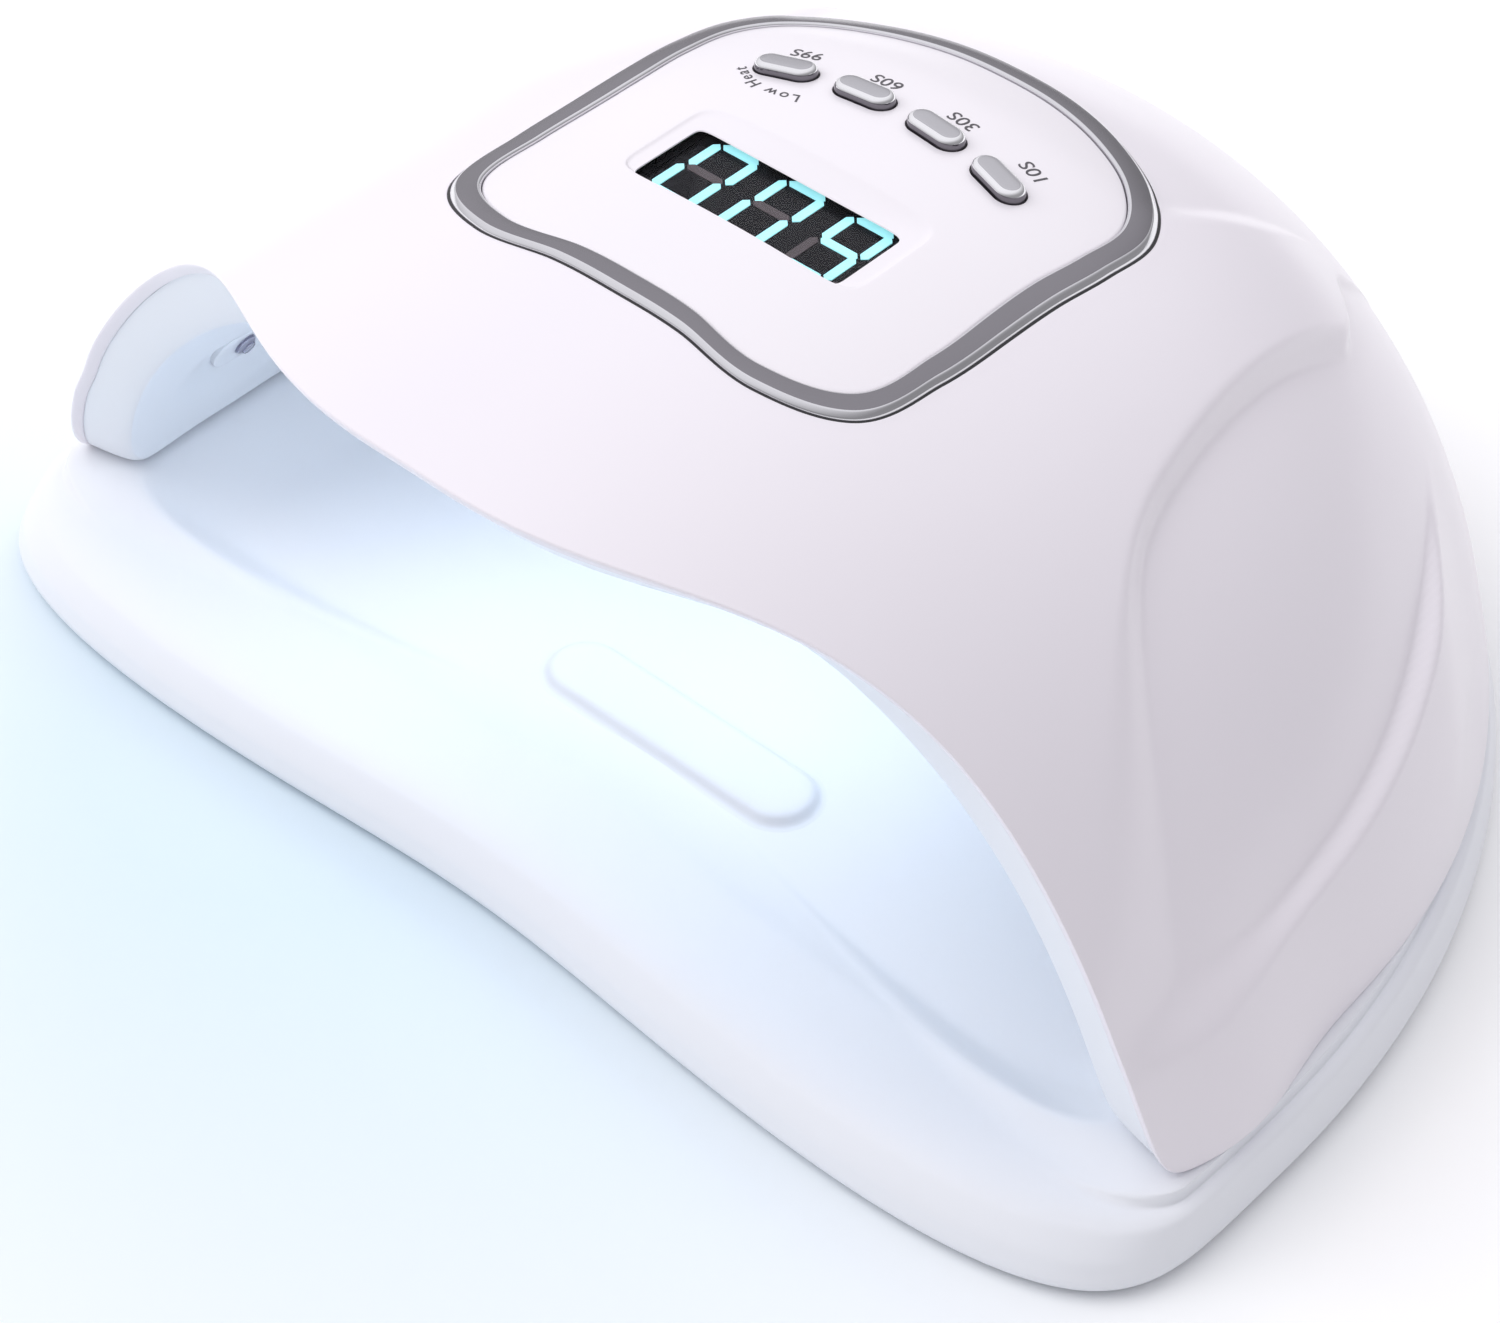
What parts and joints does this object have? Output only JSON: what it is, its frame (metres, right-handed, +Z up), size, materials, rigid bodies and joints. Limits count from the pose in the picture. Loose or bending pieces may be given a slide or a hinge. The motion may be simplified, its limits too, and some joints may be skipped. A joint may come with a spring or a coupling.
{
  "type": "uv curing lamp",
  "caption": "Domed tabletop UV/LED curing lamp: open-fronted glossy hood with chrome-ringed display and push keys, lamp-studded liner and lift-off floor tray.",
  "frame": {"origin": "on the table, midway along the footprint's width and depth", "axes": "+Z up; -Y out of the hand opening; +X to the right for a viewer who looks along +Y into the opening"},
  "size_m": [0.235, 0.1843, 0.0972],
  "materials": {
    "hood_white": "glossy injection-moulded ABS with a faint lavender tint",
    "tray_white": "glossy injection-moulded ABS",
    "liner_white": "smooth reflective white plastic",
    "trim_chrome": "bright plated trim with a satin flat",
    "button_chrome": "bright plated caps",
    "smoked_window": "smoked clear acrylic",
    "display_black": "black filled display body",
    "lit_cyan": "lit translucent segment",
    "unlit_grey": "unlit translucent segment",
    "board_green": "solder mask over glass-fibre board",
    "board_white": "white solder mask over aluminium board",
    "chip_black": "moulded epoxy",
    "brass_posts": "turned brass",
    "pin_brass": "turned contact pin",
    "screw_steel": "zinc-plated steel",
    "magnet_steel": "nickel-plated magnet",
    "lamp_lens": "clear epoxy lens with a violet chip",
    "sensor_dark": "dark infrared-pass lens",
    "choke_grey": "ferrite",
    "capacitor_blue": "sleeved aluminium can",
    "jack_black": "black nylon",
    "ribbon_grey": "vinyl ribbon",
    "wire_red": "soft vinyl sleeve",
    "wire_white": "soft vinyl sleeve",
    "plunger_cream": "moulded nylon",
    "foot_rubber": "soft moulded rubber"
  },
  "bodies": {
    "base": {"base_tray": "tray_white", "rubber_feet": "foot_rubber", "tray_magnets": "magnet_steel"},
    "hood": {"hood_shell": "hood_white", "inner_liner": "liner_white", "chrome_ring": "trim_chrome", "control_panel": "hood_white", "display_window": "smoked_window", "display_module": "display_black", "segments_lit": "lit_cyan", "segments_dark": "unlit_grey", "control_board": "board_green", "board_chips": "chip_black", "board_standoffs": "brass_posts", "board_screws": "screw_steel", "switch_bodies": "chip_black", "buzzer": "chip_black", "led_board_top": "board_white", "top_standoffs": "brass_posts", "led_beads_top": "lamp_lens", "led_cup_left": "liner_white", "led_cup_right": "liner_white", "led_board_left": "board_white", "led_board_right": "board_white", "led_beads_left": "lamp_lens", "led_beads_right": "lamp_lens", "sensor_eye": "sensor_dark", "driver_board": "board_green", "driver_chokes": "choke_grey", "driver_capacitors": "capacitor_blue", "driver_standoffs": "brass_posts", "dc_jack": "jack_black", "dc_jack_pin": "pin_brass", "dc_jack_nut": "screw_steel", "screw_posts": "hood_white", "liner_screws": "screw_steel", "hood_magnets": "magnet_steel", "ribbon_cable": "ribbon_grey", "inlet_wires": "wire_red", "side_wires": "wire_white"},
    "button_10s": {"button_10s": "button_chrome", "plunger_10s": "plunger_cream"},
    "button_30s": {"button_30s": "button_chrome", "plunger_30s": "plunger_cream"},
    "button_60s": {"button_60s": "button_chrome", "plunger_60s": "plunger_cream"},
    "button_99s": {"button_99s": "button_chrome", "plunger_99s": "plunger_cream"}
  },
  "joints": [
    {"name": "hood_lift", "type": "slide", "parent": "base", "child": "hood", "axis": [0, 0, 1], "range_m": [0, 0.1]},
    {"name": "press_10s", "type": "slide", "parent": "hood", "child": "button_10s", "axis": [0, 0, -1], "range_m": [0, 0.0005], "stiffness_N_per_m": 800, "springref_m": -0.001},
    {"name": "press_30s", "type": "slide", "parent": "hood", "child": "button_30s", "axis": [0, 0, -1], "range_m": [0, 0.0005], "stiffness_N_per_m": 800, "springref_m": -0.001},
    {"name": "press_60s", "type": "slide", "parent": "hood", "child": "button_60s", "axis": [0, 0, -1], "range_m": [0, 0.0005], "stiffness_N_per_m": 800, "springref_m": -0.001},
    {"name": "press_99s", "type": "slide", "parent": "hood", "child": "button_99s", "axis": [0, 0, -1], "range_m": [0, 0.0005], "stiffness_N_per_m": 800, "springref_m": -0.001}
  ]
}
